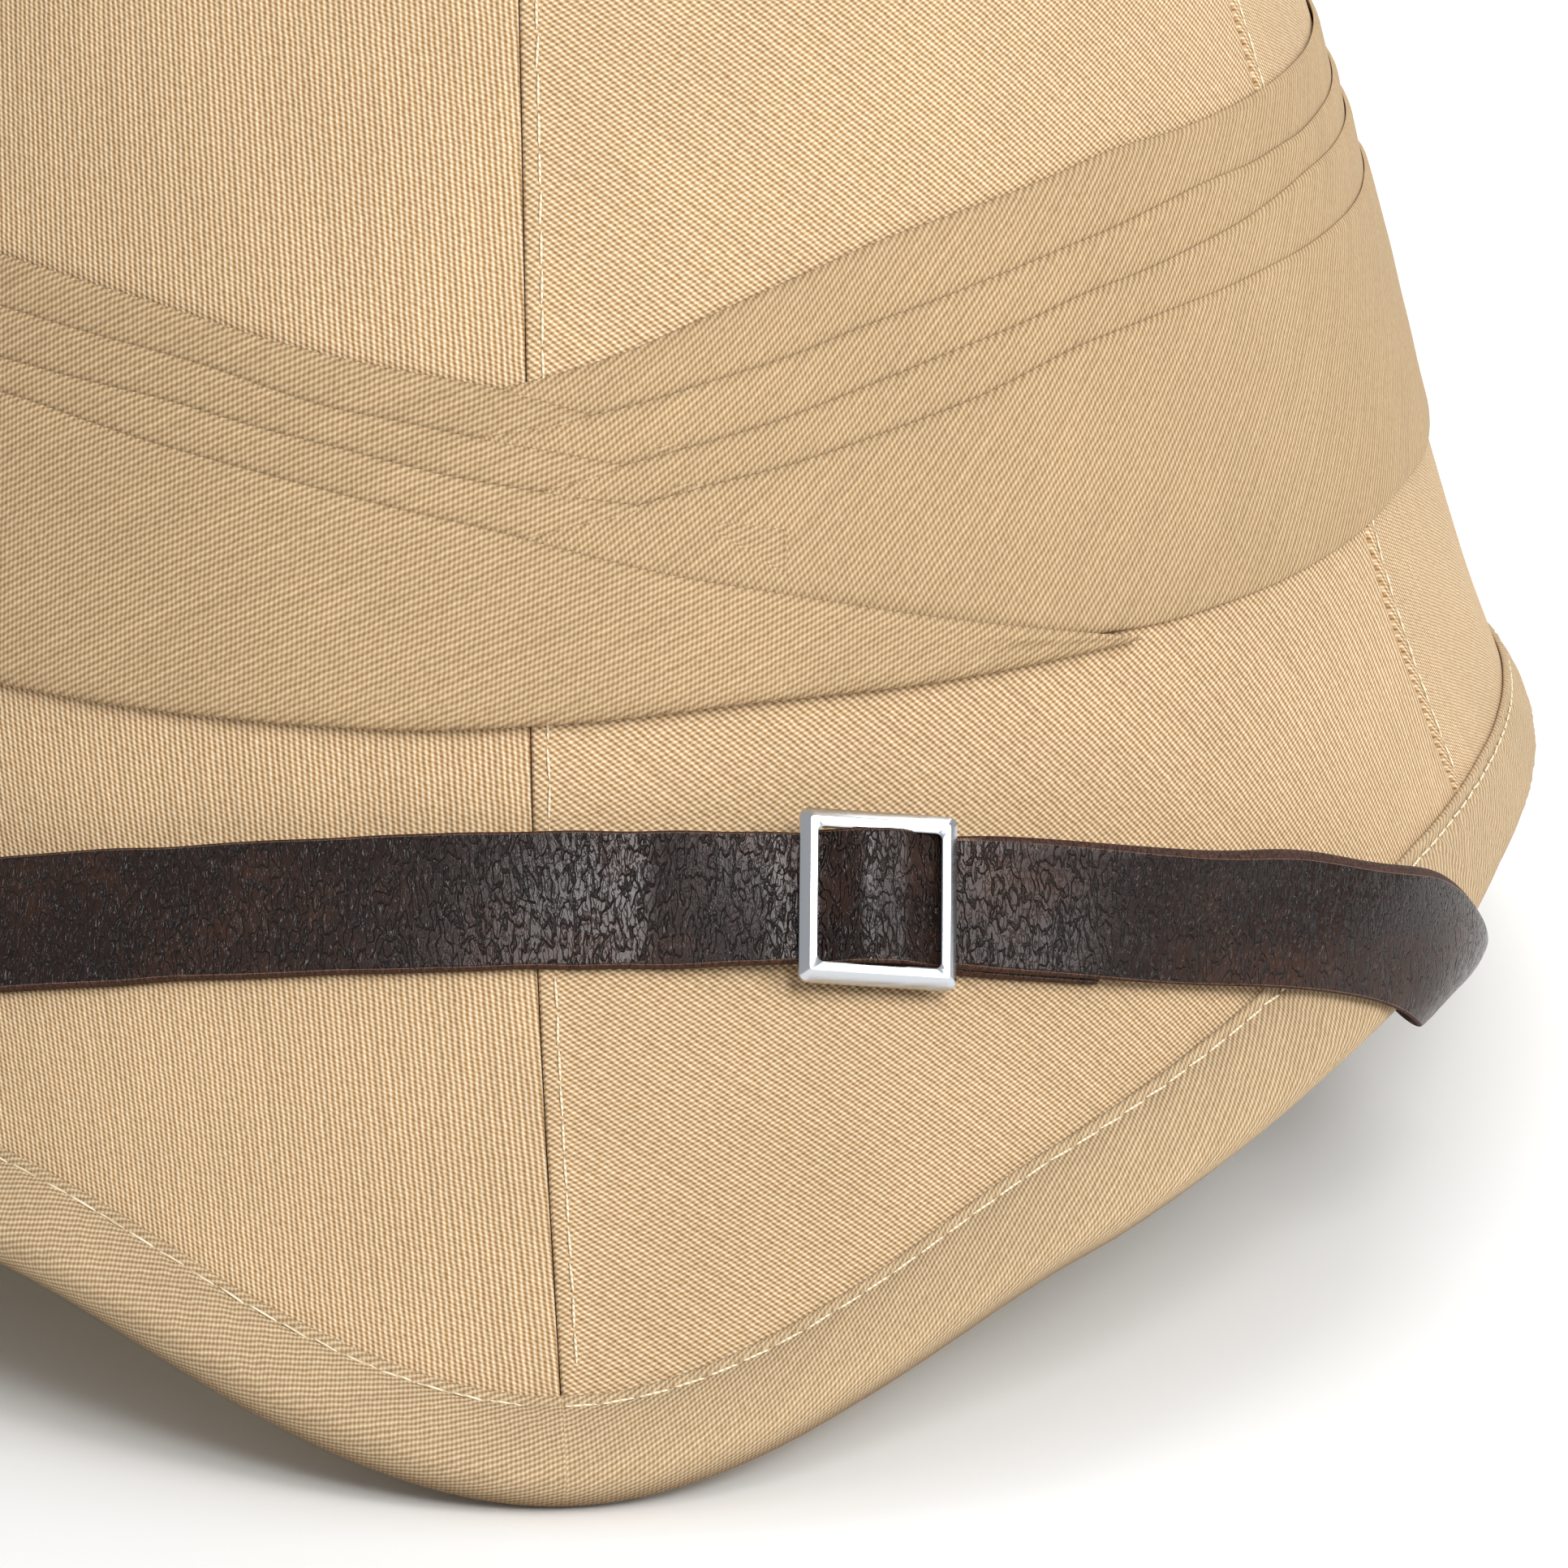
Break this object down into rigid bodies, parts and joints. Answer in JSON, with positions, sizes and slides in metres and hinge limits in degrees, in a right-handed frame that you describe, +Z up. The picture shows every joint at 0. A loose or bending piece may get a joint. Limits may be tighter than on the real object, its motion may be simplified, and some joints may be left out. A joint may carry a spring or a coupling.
{
  "type": "pith helmet",
  "caption": "Pith helmet in khaki drill with a pleated band, a bound brim, a ventilator button and a leather chin strap worn over the peak.",
  "frame": {"origin": "under the middle of the helmet's outline, on the surface that its brim stands on", "axes": "+Z up through the ventilator button, front towards -Y, wearer's left towards +X"},
  "size_m": [0.2342, 0.332, 0.1941],
  "materials": {
    "pith_body": "matte pressed pith",
    "khaki_drill": "cotton drill",
    "pleated_drill": "pleated cotton drill",
    "bound_drill": "cotton drill cut on the bias",
    "button_drill": "cotton drill stretched over a button",
    "strap_leather": "dark brown grained leather, semi-gloss",
    "buckle_metal": "bright pressed frame, lightly brushed",
    "stud_metal": "plain nickel grey"
  },
  "bodies": {
    "root": {"shell": "pith_body", "cover_panel_1": "khaki_drill", "cover_panel_2": "khaki_drill", "cover_panel_3": "khaki_drill", "cover_panel_4": "khaki_drill", "cover_panel_5": "khaki_drill", "cover_panel_6": "khaki_drill", "puggaree": "pleated_drill", "brim_binding": "bound_drill", "chin_strap": "strap_leather", "strap_tail": "strap_leather", "buckle": "buckle_metal", "strap_stud_left": "stud_metal", "strap_stud_right": "stud_metal", "ventilator": "button_drill"}
  },
  "joints": []
}
